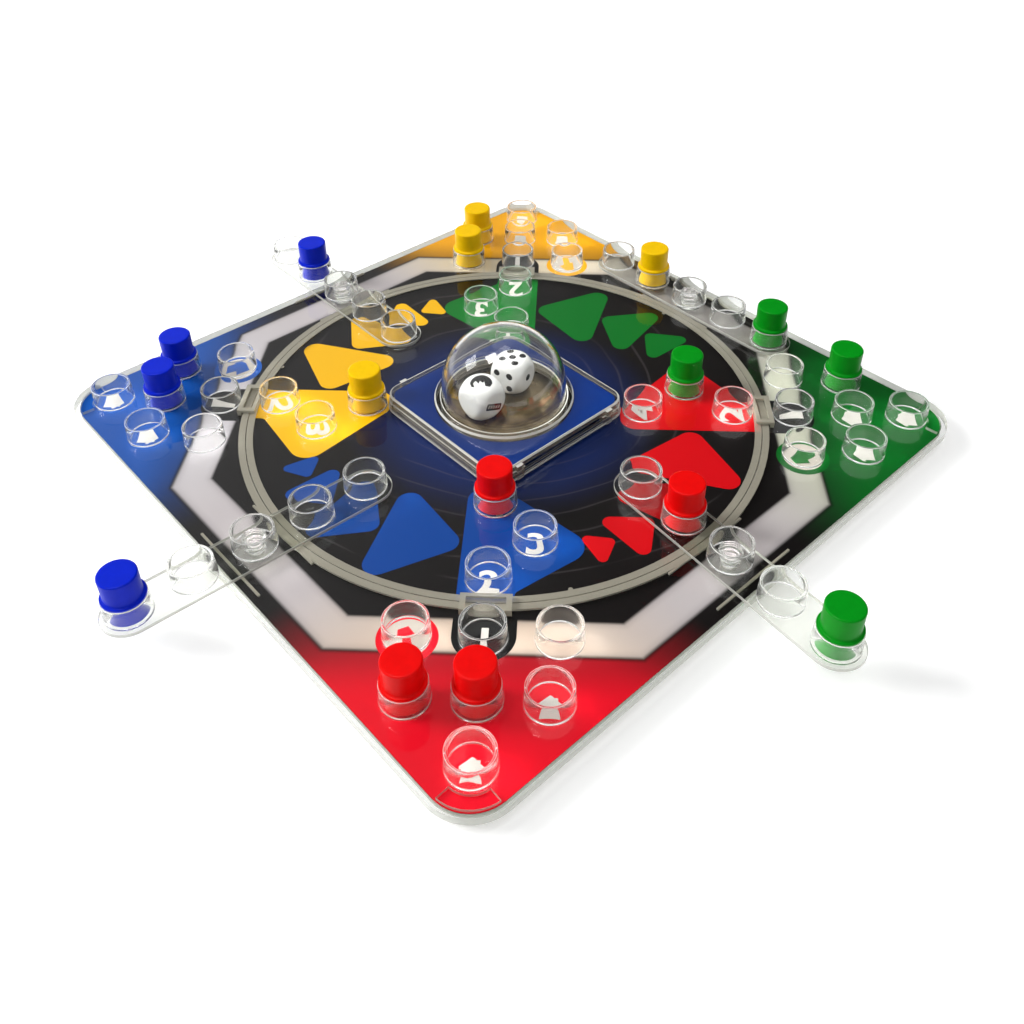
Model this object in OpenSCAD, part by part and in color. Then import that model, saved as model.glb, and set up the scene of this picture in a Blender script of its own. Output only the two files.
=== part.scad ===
// Pop-up dice board game: a clear moulded board over a printed sheet, a
// turntable with four home lanes, four swing arms and a press-dome popper.
// Millimetres, +Z up. The origin is the middle of the tray's underside.

/* [Board] */
// Side of the square board, over the clear rim
board_w = 256; // [244:1:272]
// Radius of the board's corners
board_corner_r = 16.5; // [14:0.5:19]
// Height of the tray under the printed sheet
tray_h = 6.4; // [6.2:0.1:7.4]
// Thickness of the tray's floor
tray_floor = 1.2; // [1:0.1:1.4]
// Thickness of the tray's walls and ribs
tray_wall = 1.6; // [1.2:0.1:2.4]
// Distance of the tray's side wall from the board's edge
tray_inset = 8; // [6:0.5:9]
// Thickness of the printed sheets
sheet_t = 0.4; // [0.3:0.05:0.6]
// Thickness of the clear deck
deck_t = 1.2; // [1:0.1:1.6]
// Width of the clear rim outside the printed sheet
rim_w = 2; // [1.6:0.1:2.6]
// Height of the clear rim's outer wall
rim_h = 3.2; // [2.8:0.1:3.6]

/* [Peg cups] */
// Bore of every peg cup, as a radius
cup_bore_r = 6.7; // [6.3:0.1:7]
// Wall of a cup at its mouth
cup_wall_top = 0.8; // [0.7:0.05:1]
// Wall of a cup at its foot
cup_wall_foot = 1.3; // [1.1:0.05:1.5]
// Height of a cup above what it stands on
cup_h = 7.6; // [6.5:0.1:8.5]
// Distance of the tip cup's centre from the board's corner
tip_inset = 15.7; // [14.5:0.1:17]
// Share of the way from the track row to the tip cup where the home row stands
home_share = 0.5215; // [0.48:0.0005:0.54]
// Spacing of the home cups along their row
home_pitch = 21.3; // [19.5:0.1:22]
// Spacing of the track cups along their row
track_pitch = 23.9; // [22:0.1:24.5]

/* [Turntable] */
// Distance of the double ring's outer edge from the board's edge
ring_inset = 24; // [23:0.1:25]
// Width of each of the two rings
ring_w = 2.6; // [2.2:0.1:3]
// Gap between the turntable and the board all round
ring_gap = 0.3; // [0.2:0.05:0.5]
// Height of the rings above the deck
ring_h = 0.8; // [0.5:0.05:0.9]
// Height of the turntable's top above the deck
disc_rise = 0.4; // [0.2:0.05:0.5]
// Offset of the middle lane cup to one side of its lane
lane_offset = 14.8; // [13.5:0.1:16]
// Length of a ring clip along the ring
clip_l = 17; // [14:0.5:20]
// Height of a ring clip above the deck
clip_h = 2.6; // [2.4:0.1:3.4]
// Clearance between a ring clip and the middle track cup outside it
clip_cup_gap = 0.48; // [0.3:0.02:1]

/* [Swing arms] */
// Distance of an arm's pivot from the board's edge
pivot_inset = 14.8; // [14:0.1:16]
// Clearance of an arm's end from the nearest track cup as it swings
arm_end_gap = 3.6; // [2.5:0.1:5]
// Width of the strip outside a cup's foot
arm_margin = 1.5; // [1.2:0.1:1.8]
// Thickness of an arm's strip
arm_t = 1.2; // [1:0.1:1.5]
// Height of an arm's underside above the deck
arm_lift = 1.1; // [1:0.05:1.4]
// Turn of the south arm from its own line, in degrees
south_turn = -2.2; // [-90:0.1:90]
// Turn of the east arm from its own line, in degrees
east_turn = -5.8; // [-90:0.1:90]
// Turn of the north arm from its own line, in degrees
north_turn = -0.5; // [-90:0.1:90]
// Turn of the west arm from its own line, in degrees
west_turn = -0.8; // [-90:0.1:90]
// Height of the deck's guide ridges
ridge_h = 0.7; // [0.4:0.05:0.8]
// Length of the deck's guide ridges
ridge_l = 38; // [30:1:44]
// Radius of the pivot's shank
shank_r = 3; // [2.5:0.1:3.4]
// Running clearance of the arm on its shank, on the radius
shank_gap = 0.08; // [0.03:0.01:0.1]
// Height of the ribbed stud inside the pivot's cup
stud_h = 4.2; // [3:0.1:5]

/* [Pegs] */
// Clearance of a peg's plug in its cup, on the radius
plug_gap = 0.4; // [0.2:0.05:0.6]
// Clearance of a peg's foot from the floor of its cup
plug_foot_gap = 0.4; // [0.2:0.1:1]
// Height of a peg above the cup's mouth
peg_rise = 10; // [8:0.5:12]
// Thickness of a peg's collar
collar_h = 2; // [1.5:0.1:2.6]
// Radius of a peg's knob at its top
knob_top_r = 6.2; // [5.6:0.1:6.4]
// Wall of the hollow under a peg
peg_wall = 1.6; // [1.4:0.1:1.8]

/* [Popper] */
// Side of the popper's square housing
housing_w = 68.6; // [67:0.2:70]
// Corner radius of the housing
housing_corner_r = 7; // [6.5:0.1:7.5]
// Height of the housing above the turntable
housing_h = 6.7; // [6.2:0.1:7.2]
// Wall of the housing
housing_wall = 1.6; // [1.4:0.1:1.8]
// Thickness of the housing's top
housing_top = 1.2; // [1:0.1:1.3]
// Outer radius of the press dome
dome_r = 24.5; // [23.5:0.1:25]
// Wall of the dome
dome_wall = 1.2; // [1:0.1:1.4]
// Height of the dome's crown above the deck
dome_rise = 37.1; // [36:0.1:40]
// Width of the dome's hidden flange
flange_w = 3.8; // [3:0.1:4.2]
// Travel of the dome when it is pressed
press_travel = 2.5; // [1.5:0.1:2.5]
// Clearance of the dome in its collar, on the radius
collar_gap = 0.5; // [0.3:0.05:0.6]
// Width of the raised collar round the dome
collar_w = 2.5; // [2:0.1:2.8]
// Height of the collar above the housing
collar_rise = 0.8; // [0.5:0.1:1.2]
// Depth of the dome's flange below the housing's top
flange_drop = 4; // [3.6:0.1:4.4]
// Thickness of the click plate's sheet
plate_t = 0.6; // [0.5:0.05:0.7]
// Step up from the plate's rim to its dice floor
plate_step = 0.6; // [0.4:0.05:0.7]
// Edge of a die
die_w = 14.5; // [13:0.1:14.8]
// Ratio of a die's rounding sphere to its half edge
die_round = 1.27; // [1.22:0.01:1.32]

/* [Hidden] */

$fn = 64;
eps = 0.01;

// Colours, as the object shows them
clear_col = [0.86, 0.9, 0.92, 0.35];
tray_col = [0.88, 0.88, 0.84];
red_col = [0.9, 0.04, 0.06];
green_col = [0.02, 0.5, 0.1];
yellow_col = [1, 0.76, 0.02];
blue_col = [0.03, 0.13, 0.7];
print_col = [0.12, 0.12, 0.14];
card_col = [0.02, 0.15, 0.45];
metal_col = [0.45, 0.38, 0.3];
steel_col = [0.6, 0.6, 0.62];
dice_col = [0.95, 0.95, 0.93];

// Heights of the board's layers
deck_z = tray_h + sheet_t + deck_t;
deck_under_z = deck_z - deck_t;
rim_bottom_z = deck_z - rim_h;
fit_gap = 0.2;

// Corner layout, as distances from the centre along a diagonal
corner_reach = board_w / 2 * sqrt(2) - board_corner_r * (sqrt(2) - 1);
tip_d = corner_reach - tip_inset;
ring_out_r = board_w / 2 - ring_inset;
clip_foot_gap = 0.2;
clip_foot_w = 1.5;
cup_top_r = cup_bore_r + cup_wall_top;
cup_foot_r = cup_bore_r + cup_wall_foot;
track_d = ring_out_r + clip_foot_gap + clip_foot_w + clip_cup_gap + cup_foot_r;
home_d = track_d + home_share * (tip_d - track_d);
// The corner cups: distance out along the diagonal and offset to its left
corner_cups = [
  [track_d, -track_pitch], [track_d, 0], [track_d, track_pitch],
  [home_d, -home_pitch], [home_d, 0], [home_d, home_pitch], [tip_d, 0]
];
red_side = -45;
green_side = 45;
yellow_side = 135;
blue_side = 225;

// Turntable layout
ring_in_r = ring_out_r - ring_w;
disc_r = ring_in_r - ring_gap;
disc_rim_in_r = disc_r - ring_w;
disc_z = deck_z + disc_rise;
disc_under_z = disc_z - deck_t;
disc_print_z = disc_under_z - sheet_t;
wall_step = 0.4;
foot_w = housing_w + 4 * wall_step;
foot_corner_r = housing_corner_r + 2 * wall_step;
housing_reach = foot_w / 2 * sqrt(2) - foot_corner_r * (sqrt(2) - 1);
lane_rim_gap = 0.1;
lane_housing_gap = 0.5;
lane_2_d = disc_rim_in_r - cup_foot_r - lane_rim_gap;
lane_4_d = housing_reach + cup_foot_r + lane_housing_gap;
lane_3_d = (lane_2_d + lane_4_d) / 2;
lane_cups = [[lane_2_d, 0], [lane_3_d, lane_offset], [lane_4_d, 0]];

// Bearing under the turntable
track_rise = 0.4;
bearing_r = 0.8 * disc_r;
bearing_w = 4;
spigot_r = 12;
spigot_gap = 0.08;
base_foot_z = tray_floor + track_rise;
hub_floor_z = base_foot_z + 0.5;
hub_floor_t = 0.8;
base_top_t = 1.6;

// Swing arm layout
pivot_d = board_w / 2 - pivot_inset;
arm_half_w = cup_foot_r + arm_margin;
start_cup = [(track_d - track_pitch) / sqrt(2), (track_d + track_pitch) / sqrt(2)];
start_cup_dist = norm([start_cup[0], start_cup[1] - pivot_d]);
arm_swing_r = start_cup_dist - cup_foot_r - arm_end_gap;
arm_pitch = (arm_swing_r - arm_half_w) / 2;
arm_z = deck_z + arm_lift;
arm_top_z = arm_z + arm_t;
ridge_w = 0.8;
ridge_side = arm_half_w + 0.7;
// Direction of each arm's own length: the south, east and west arms stand
// across their edge, and the north arm lies along it
arm_side = [-90, 0, 90, 180];
arm_along = [-90, 0, 0, 180];
arm_turn = [south_turn, east_turn, north_turn, west_turn];

// Pegs
plug_r = cup_bore_r - plug_gap;
collar_r = cup_top_r - 0.2;
knob_foot_r = collar_r - 0.6;
peg_hollow_r = plug_r - peg_wall;
peg_plug_l = cup_h - plug_foot_gap;
peg_edge = 0.5;
stud_r = peg_hollow_r - 0.5;

// Popper layout
housing_top_z = disc_z + housing_h;
housing_roof_z = housing_top_z - housing_top;
insert_z = housing_roof_z - sheet_t;
flange_t = 1.2;
flange_top_z = housing_top_z - flange_drop;
flange_z = flange_top_z - flange_t;
flange_r = dome_r + flange_w;
dome_hole_r = dome_r + collar_gap;
dome_centre_z = deck_z + dome_rise - dome_r;
dome_in_r = dome_r - dome_wall;
plate_rim_z = flange_z - plate_t;
dice_floor_z = flange_z + plate_step;
dice_floor_r = dome_in_r - 2.6;
pan_r = flange_r + 1.7;
pan_gap = 0.1;
pan_wall = 1.2;
pan_floor_z = hub_floor_z + hub_floor_t;
pan_floor_t = 0.8;
boss_at = housing_w / 2 - housing_corner_r + 2.4;
boss_r = 3;
boss_top_z = insert_z - 0.1;
pilot_r = 1.3;
screw_r = 1.25;
screw_head_r = 2.6;
screw_head_h = 1.5;
screw_top_z = boss_top_z - 1.2;
spring_w = 10;
spring_t = 0.5;
seat_lift = 0.6;
spring_half_l = pan_r - pan_wall - 1;
die_ball_r = die_w / 2 * die_round;
pip_die_at = [-6.1, 10.2];
pip_die_turn = 15;
symbol_die_at = [-2.2, -9.6];
symbol_die_turn = 2;

// A square outline with round corners
module round_square(w, r) {
  square([w - 2 * r, w], center = true);
  square([w, w - 2 * r], center = true);
  for (x = [-1, 1], y = [-1, 1])
    translate([x * (w / 2 - r), y * (w / 2 - r)]) circle(r);
}

// A flat slab with round corners between two heights
module slab(w, r, z0, z1) {
  translate([0, 0, z0]) linear_extrude(z1 - z0) round_square(w, r);
}

// A flat ring between two radii and two heights
module ring(r_in, r_out, z0, z1) {
  translate([0, 0, z0]) rotate_extrude($fn = 128)
    translate([r_in, 0]) square([r_out - r_in, z1 - z0]);
}

// One peg cup's wall: a straight bore inside and a tapered outside
module cup_wall_at(z) {
  translate([0, 0, z]) rotate_extrude()
    polygon([[cup_bore_r, 0], [cup_foot_r, 0], [cup_top_r + 0.1, cup_h - 0.5],
             [cup_top_r, cup_h], [cup_bore_r, cup_h]]);
}

// Places its children at one cup of a corner or a lane
module along_diagonal(angle, place) {
  rotate(angle) translate([place[0], place[1], 0]) children();
}

// The seven cups of one corner
module corner_cup_set(angle) {
  for (place = corner_cups) along_diagonal(angle, place) cup_wall_at(deck_z);
}

// The wedge left open in the clear deck outside each tip cup
module corner_window(angle) {
  land = 0.6;
  spread = 0.9 * tip_inset;
  translate([0, 0, deck_under_z - eps]) linear_extrude(deck_t + 2 * eps) intersection() {
    round_square(board_w - 2 * (rim_w + land), board_corner_r - rim_w - land);
    rotate(angle) translate([tip_d, 0]) difference() {
      polygon([[0, 0], [tip_inset, -spread], [tip_inset, spread]]);
      circle(cup_foot_r + land);
    }
  }
}

// Low ridges either side of one pivot, along the board's edge
module guide_ridges(side) {
  rotate(side) for (s = [-1, 1])
    translate([pivot_d + s * ridge_side - ridge_w / 2, -ridge_l / 2, deck_z])
      cube([ridge_w, ridge_l, ridge_h]);
}

module base_tray() {
  inner_w = board_w - 2 * tray_inset;
  ring_wall_r = ring_in_r + 0.5;
  color(tray_col) {
    difference() {
      union() {
        slab(inner_w, board_corner_r - 4, 0, tray_h);
        slab(board_w - 2 * rim_w - 2 * fit_gap, board_corner_r - rim_w, rim_bottom_z, tray_h);
      }
      slab(inner_w - 2 * tray_wall, board_corner_r - 6, tray_floor, tray_h + 1);
    }
    ring(ring_wall_r, ring_wall_r + tray_wall, tray_floor, tray_h);
    ring(bearing_r, bearing_r + bearing_w, tray_floor, base_foot_z);
    translate([0, 0, tray_floor]) cylinder(r = spigot_r, h = pan_floor_z - 0.1 - tray_floor);
    // Ribs that hold the sheet up in the corners and at the sides
    for (a = [0:45:315]) {
      rib_end = (a % 90 == 0) ? inner_w / 2 - tray_wall / 2 : corner_reach - 16;
      rotate(a) translate([ring_wall_r + tray_wall / 2, -tray_wall / 2, tray_floor])
        cube([rib_end - ring_wall_r - tray_wall / 2, tray_wall, tray_h - tray_floor]);
    }
  }
}

module print_sheet() {
  color(print_col) difference() {
    slab(board_w - 2 * rim_w - 2 * fit_gap, board_corner_r - rim_w, tray_h, deck_under_z);
    translate([0, 0, tray_h - 1]) cylinder(r = ring_in_r, h = sheet_t + 2, $fn = 128);
  }
}

module deck_cover() {
  color(clear_col) {
    difference() {
      slab(board_w, board_corner_r, rim_bottom_z, deck_z);
      slab(board_w - 2 * rim_w, board_corner_r - rim_w, rim_bottom_z - 1, deck_under_z);
      translate([0, 0, rim_bottom_z - 1]) cylinder(r = ring_in_r, h = rim_h + 2, $fn = 128);
      for (a = [red_side, green_side, yellow_side, blue_side]) corner_window(a);
      for (a = arm_side)
        rotate(a) translate([pivot_d, 0, deck_under_z - 1])
          cylinder(r = shank_r - 0.4 + 0.1, h = deck_t + 2);
    }
    ring(ring_in_r, ring_out_r, deck_z, deck_z + ring_h);
    for (a = arm_side) guide_ridges(a);
  }
}

module deck_cups(angle) {
  color(clear_col) corner_cup_set(angle);
}

// One clip that bridges the two rings and keeps the turntable down
module ring_clip() {
  in_r = disc_rim_in_r + 0.2;
  foot_in_r = ring_out_r + clip_foot_gap;
  out_r = foot_in_r + clip_foot_w;
  bridge_z = deck_z + ring_h + 0.8;
  top_z = deck_z + clip_h;
  difference() {
    translate([in_r, -clip_l / 2, bridge_z]) cube([out_r - in_r, clip_l, top_z - bridge_z]);
    translate([in_r + 1.4, -clip_l / 2 + 2, bridge_z - 1])
      cube([foot_in_r - in_r - 1.8, clip_l - 4, clip_h]);
  }
  translate([foot_in_r, -clip_l / 2, deck_z]) cube([out_r - foot_in_r, clip_l, bridge_z - deck_z]);
}

module ring_clips() {
  color(clear_col)
    for (a = [red_side, green_side, yellow_side, blue_side]) rotate(a) ring_clip();
}

module turntable_base() {
  color(tray_col) difference() {
    union() {
      ring(pan_r + pan_gap, disc_r, disc_print_z - base_top_t, disc_print_z);
      ring(disc_r - tray_wall, disc_r, base_foot_z + 0.4, disc_print_z);
      ring(bearing_r - 0.6, bearing_r + bearing_w + 0.6, base_foot_z, disc_print_z);
      ring(pan_r + pan_gap, pan_r + pan_gap + tray_wall, hub_floor_z, disc_print_z);
      ring(spigot_r + spigot_gap, pan_r + pan_gap + tray_wall, hub_floor_z, hub_floor_z + hub_floor_t);
      for (a = [0:30:330])
        rotate(a) translate([pan_r + pan_gap + tray_wall / 2, -tray_wall / 2, base_foot_z + 0.4])
          cube([disc_r - tray_wall - pan_r - pan_gap, tray_wall, disc_print_z - base_foot_z - 0.4 - eps]);
    }
    for (x = [-1, 1], y = [-1, 1]) translate([x * boss_at, y * boss_at, 0]) {
      cylinder(r = screw_r + 0.25, h = disc_print_z + 1);
      cylinder(r = screw_head_r + 0.6, h = disc_print_z - base_top_t);
    }
  }
}

// The openings that the popper needs through the turntable's layers
module popper_cuts(z, h) {
  translate([0, 0, z]) {
    cylinder(r = pan_r - 0.5, h = h);
    for (x = [-1, 1], y = [-1, 1]) translate([x * boss_at, y * boss_at, 0])
      cylinder(r = boss_r + fit_gap, h = h);
  }
}

module disc_print() {
  color(print_col) difference() {
    translate([0, 0, disc_print_z]) cylinder(r = disc_r - fit_gap, h = sheet_t, $fn = 128);
    popper_cuts(disc_print_z - 1, sheet_t + 2);
  }
}

module disc_cover() {
  nub_r = 0.8;
  color(clear_col) {
    difference() {
      translate([0, 0, disc_under_z]) cylinder(r = disc_r, h = deck_t, $fn = 128);
      popper_cuts(disc_under_z - 1, deck_t + 2);
    }
    ring(disc_rim_in_r, disc_r, disc_z, deck_z + ring_h);
    // Moulding gates on the rim
    for (a = [91, 211, 331]) rotate(a)
      translate([disc_rim_in_r - nub_r / 2, 0, disc_z]) cylinder(r = nub_r, h = 0.25);
  }
}

module disc_cups() {
  color(clear_col)
    for (a = [red_side, green_side, yellow_side, blue_side], place = lane_cups)
      along_diagonal(a, place) cup_wall_at(disc_z);
}

module popper_pan() {
  seat_z = pan_floor_z + pan_floor_t;
  stop_r = 1.4;
  color(tray_col) {
    ring(pan_r - pan_wall, pan_r, pan_floor_z, disc_print_z);
    translate([0, 0, pan_floor_z]) cylinder(r = pan_r, h = pan_floor_t);
    // Seats that hold the two ends of the click spring
    for (s = [-1, 1]) translate([-spring_w / 2 - 1, s * (spring_half_l - 2) - 2.5, seat_z]) difference() {
      cube([spring_w + 2, 5, 1.6]);
      translate([0.9, -1, seat_lift]) cube([spring_w + 0.2, 7, 2]);
    }
    // Posts that stop the click plate at the end of its travel
    for (a = [20, 160, 200, 340]) rotate(a) translate([flange_r - stop_r, 0, seat_z])
      cylinder(r = stop_r, h = plate_rim_z - press_travel - seat_z);
  }
}

module popper_housing() {
  in_w = housing_w - 2 * housing_wall;
  step_z = disc_z + 0.6 * housing_h;
  slot_l = 41;
  slot_z = disc_z + 1.3;
  slot_h = 3.2;
  tab_w = 3;
  color(clear_col) difference() {
    union() {
      // A foot, a lower wall and an upper wall, each a small step further in
      slab(foot_w, foot_corner_r, disc_z, disc_z + 0.7);
      slab(housing_w + 2 * wall_step, housing_corner_r + wall_step, disc_z, step_z);
      slab(housing_w, housing_corner_r, disc_z, housing_top_z - wall_step);
      slab(housing_w - 2 * wall_step, housing_corner_r - wall_step, disc_z, housing_top_z);
      // Collar with a chamfered edge round the dome
      translate([0, 0, housing_top_z - eps]) rotate_extrude($fn = 96)
        polygon([[dome_hole_r, 0], [dome_hole_r + collar_w, 0],
                 [dome_hole_r + collar_w - collar_rise / 2, collar_rise], [dome_hole_r, collar_rise]]);
      // Nubs on the collar
      for (a = [0:90:270]) rotate(a)
        translate([dome_hole_r + collar_w / 2, 0, housing_top_z]) cylinder(r = 0.7, h = collar_rise + 0.3);
      for (x = [-1, 1], y = [-1, 1]) translate([x * boss_at, y * boss_at, disc_print_z])
        cylinder(r = boss_r, h = boss_top_z - disc_print_z);
      // Snap tabs beside the side slots
      for (s = [-1, 1], y = [-1, 1])
        translate([s * housing_w / 2 - 1.2, y * (slot_l / 2 + tab_w) - tab_w / 2, disc_z])
          cube([2.4, tab_w, housing_h - wall_step]);
    }
    difference() {
      slab(in_w, housing_corner_r - housing_wall, disc_z - 1, housing_roof_z);
      for (x = [-1, 1], y = [-1, 1]) translate([x * boss_at, y * boss_at, disc_z - 2])
        cylinder(r = boss_r, h = boss_top_z - disc_z + 2);
      // Skirt that holds the dome's flange down
      ring(dome_hole_r, dome_hole_r + collar_w, flange_top_z, housing_top_z);
    }
    translate([0, 0, disc_z - 1]) cylinder(r = dome_hole_r, h = housing_h + collar_rise + 2, $fn = 96);
    for (x = [-1, 1], y = [-1, 1]) translate([x * boss_at, y * boss_at, disc_print_z - 1])
      cylinder(r = pilot_r, h = screw_top_z + 0.4 - disc_print_z + 1);
    for (s = [-1, 1]) translate([s * housing_w / 2 - housing_wall - 0.5, -slot_l / 2, slot_z])
      cube([2 * housing_wall + 1, slot_l, slot_h]);
  }
}

module housing_insert() {
  card_w = housing_w - 2 * housing_wall - 2 * fit_gap;
  color(card_col) difference() {
    slab(card_w, housing_corner_r - housing_wall - fit_gap, insert_z, housing_roof_z);
    translate([0, 0, insert_z - 1])
      cylinder(r = dome_hole_r + collar_w + fit_gap, h = sheet_t + 2, $fn = 96);
  }
}

module housing_screws() {
  head_z = disc_print_z - base_top_t - screw_head_h;
  color(steel_col)
    for (x = [-1, 1], y = [-1, 1]) translate([x * boss_at, y * boss_at, head_z]) difference() {
      union() {
        cylinder(r = screw_head_r, h = screw_head_h);
        cylinder(r = screw_r, h = screw_top_z - head_z);
      }
      for (a = [0, 90]) rotate(a) translate([-1.6, -0.35, -0.5]) cube([3.2, 0.7, 1.2]);
    }
}

// A bowed strip of steel: its ends sit in the pan and its crown under the plate
module click_spring() {
  seat_z = pan_floor_z + pan_floor_t + seat_lift;
  crown_z = dice_floor_z - plate_t;
  rise = crown_z - seat_z - spring_t;
  bow_r = (spring_half_l * spring_half_l + rise * rise) / (2 * rise);
  color(steel_col) translate([spring_w / 2, 0, 0]) rotate([90, 0, -90]) linear_extrude(spring_w)
    intersection() {
      translate([0, crown_z - spring_t - bow_r]) difference() {
        circle(bow_r + spring_t, $fn = 256);
        circle(bow_r, $fn = 256);
      }
      translate([-spring_half_l, seat_z - 2]) square([2 * spring_half_l, crown_z - seat_z + 3]);
    }
}

module press_dome() {
  color(clear_col) {
    rotate_extrude($fn = 96) {
      difference() {
        translate([0, dome_centre_z]) circle(dome_r, $fn = 96);
        translate([0, dome_centre_z]) circle(dome_in_r, $fn = 96);
        translate([-2 * dome_r, dome_centre_z - 2 * dome_r]) square([4 * dome_r, 2 * dome_r]);
        translate([-2 * dome_r, dome_centre_z - 2 * dome_r]) square([2 * dome_r, 4 * dome_r]);
      }
      translate([dome_in_r, flange_z]) square([dome_wall, dome_centre_z - flange_z]);
      translate([dome_in_r, flange_z]) square([flange_r - dome_in_r, flange_t]);
    }
  }
}

// A stepped round plate of thin sheet: a rim under the dome and a dice floor
module click_plate() {
  step_w = 1.4;
  color(metal_col) rotate_extrude($fn = 96)
    polygon([[0, dice_floor_z - plate_t], [dice_floor_r, dice_floor_z - plate_t],
             [dice_floor_r + step_w, plate_rim_z], [flange_r, plate_rim_z], [flange_r, flange_z],
             [dice_floor_r + step_w + 0.2, flange_z], [dice_floor_r + 0.2, dice_floor_z], [0, dice_floor_z]]);
}

// A die: a cube cut back to a sphere at its corners
module die_at(place, turn) {
  color(dice_col) translate([place[0], place[1], dice_floor_z + die_w / 2]) rotate(turn)
    intersection() {
      cube(die_w, center = true);
      sphere(die_ball_r, $fn = 96);
    }
}

// Places its children in the frame of one arm, centred on its pivot
module on_arm(i) {
  rotate(arm_side[i]) translate([pivot_d, 0, 0])
    rotate(arm_along[i] - arm_side[i] + arm_turn[i]) children();
}

module arm_strip(i) {
  reach = 2 * arm_pitch;
  color(clear_col) on_arm(i) translate([0, 0, arm_z]) difference() {
    union() {
      translate([-reach, -arm_half_w, 0]) cube([2 * reach, 2 * arm_half_w, arm_t]);
      for (s = [-1, 1]) translate([s * reach, 0, 0]) cylinder(r = arm_half_w, h = arm_t);
    }
    translate([0, 0, -1]) cylinder(r = shank_r + shank_gap, h = arm_t + 2);
  }
}

module arm_cups(i) {
  color(clear_col) on_arm(i)
    for (k = [-2:2]) translate([k * arm_pitch, 0, 0]) cup_wall_at(arm_top_z);
}

// The pivot: a shoulder on the deck, a shank through the arm, a ribbed stud
module arm_pivot(i) {
  tail_r = shank_r - 0.4;
  shoulder_r = 2 * shank_r;
  rib = stud_h / 6;
  head_z = arm_top_z + 0.1;
  color(clear_col) rotate(arm_side[i]) translate([pivot_d, 0, 0]) rotate_extrude() {
    translate([0, deck_under_z + 0.1]) square([tail_r, deck_t]);
    translate([0, deck_z]) square([shoulder_r, arm_lift]);
    translate([0, deck_z]) square([shank_r, head_z - deck_z + rib]);
    for (k = [0:2]) translate([0, head_z + 2 * k * rib]) {
      square([stud_r, rib]);
      square([stud_r - 0.6, 2 * rib]);
    }
  }
}

// One peg, standing in a cup whose floor is at height z
module peg(col, z) {
  mouth = cup_h;
  hollow = peg_plug_l + peg_rise - 2 * peg_wall;
  color(col) translate([0, 0, z]) rotate_extrude($fn = 48)
    polygon([
      [0, plug_foot_gap + hollow], [peg_hollow_r - 0.4, plug_foot_gap + hollow],
      [peg_hollow_r, plug_foot_gap],
      [plug_r - peg_edge, plug_foot_gap], [plug_r, plug_foot_gap + peg_edge],
      [plug_r, mouth], [collar_r, mouth], [collar_r, mouth + collar_h - peg_edge],
      [collar_r - peg_edge, mouth + collar_h], [knob_foot_r, mouth + collar_h],
      [knob_top_r, mouth + peg_rise - peg_edge],
      [knob_top_r - 0.15, mouth + peg_rise - 0.15], [knob_top_r - peg_edge, mouth + peg_rise],
      [0, mouth + peg_rise]
    ]);
}

// Pegs stand in a corner's cups, in the lanes and on the arms
module corner_peg(col, angle, k) {
  along_diagonal(angle, corner_cups[k]) peg(col, deck_z);
}
module lane_peg(col, angle, k) {
  along_diagonal(angle, lane_cups[k]) peg(col, disc_z);
}
module arm_peg(col, i, k) {
  on_arm(i) translate([k * arm_pitch, 0, 0]) peg(col, arm_top_z);
}

base_tray();
print_sheet();
deck_cover();
deck_cups(red_side);  // deck_cups_red
deck_cups(green_side);  // deck_cups_green
deck_cups(yellow_side);  // deck_cups_yellow
deck_cups(blue_side);  // deck_cups_blue
ring_clips();
turntable_base();
disc_print();
disc_cover();
disc_cups();
popper_pan();
popper_housing();
housing_insert();
housing_screws();
click_spring();
press_dome();
click_plate();
die_at(pip_die_at, pip_die_turn);  // pip_die
die_at(symbol_die_at, symbol_die_turn);  // symbol_die
arm_strip(0);  // arm_strip_south
arm_cups(0);  // arm_cups_south
arm_pivot(0);  // arm_pivot_south
arm_strip(1);  // arm_strip_east
arm_cups(1);  // arm_cups_east
arm_pivot(1);  // arm_pivot_east
arm_strip(2);  // arm_strip_north
arm_cups(2);  // arm_cups_north
arm_pivot(2);  // arm_pivot_north
arm_strip(3);  // arm_strip_west
arm_cups(3);  // arm_cups_west
arm_pivot(3);  // arm_pivot_west
corner_peg(red_col, red_side, 3);  // peg_red_1
corner_peg(red_col, red_side, 4);  // peg_red_2
lane_peg(red_col, red_side, 2);  // peg_red_3
arm_peg(red_col, 1, -1);  // peg_red_4
corner_peg(green_col, green_side, 5);  // peg_green_1
lane_peg(green_col, green_side, 1);  // peg_green_2
arm_peg(green_col, 1, 2);  // peg_green_3
arm_peg(green_col, 2, 2);  // peg_green_4
corner_peg(yellow_col, yellow_side, 5);  // peg_yellow_1
corner_peg(yellow_col, yellow_side, 2);  // peg_yellow_2
lane_peg(yellow_col, blue_side, 2);  // peg_yellow_3
arm_peg(yellow_col, 2, -1);  // peg_yellow_4
corner_peg(blue_col, blue_side, 3);  // peg_blue_1
corner_peg(blue_col, blue_side, 4);  // peg_blue_2
arm_peg(blue_col, 0, 2);  // peg_blue_3
arm_peg(blue_col, 3, 1);  // peg_blue_4
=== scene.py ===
import bmesh
import bpy
import math
from mathutils import Matrix, Vector


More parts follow.
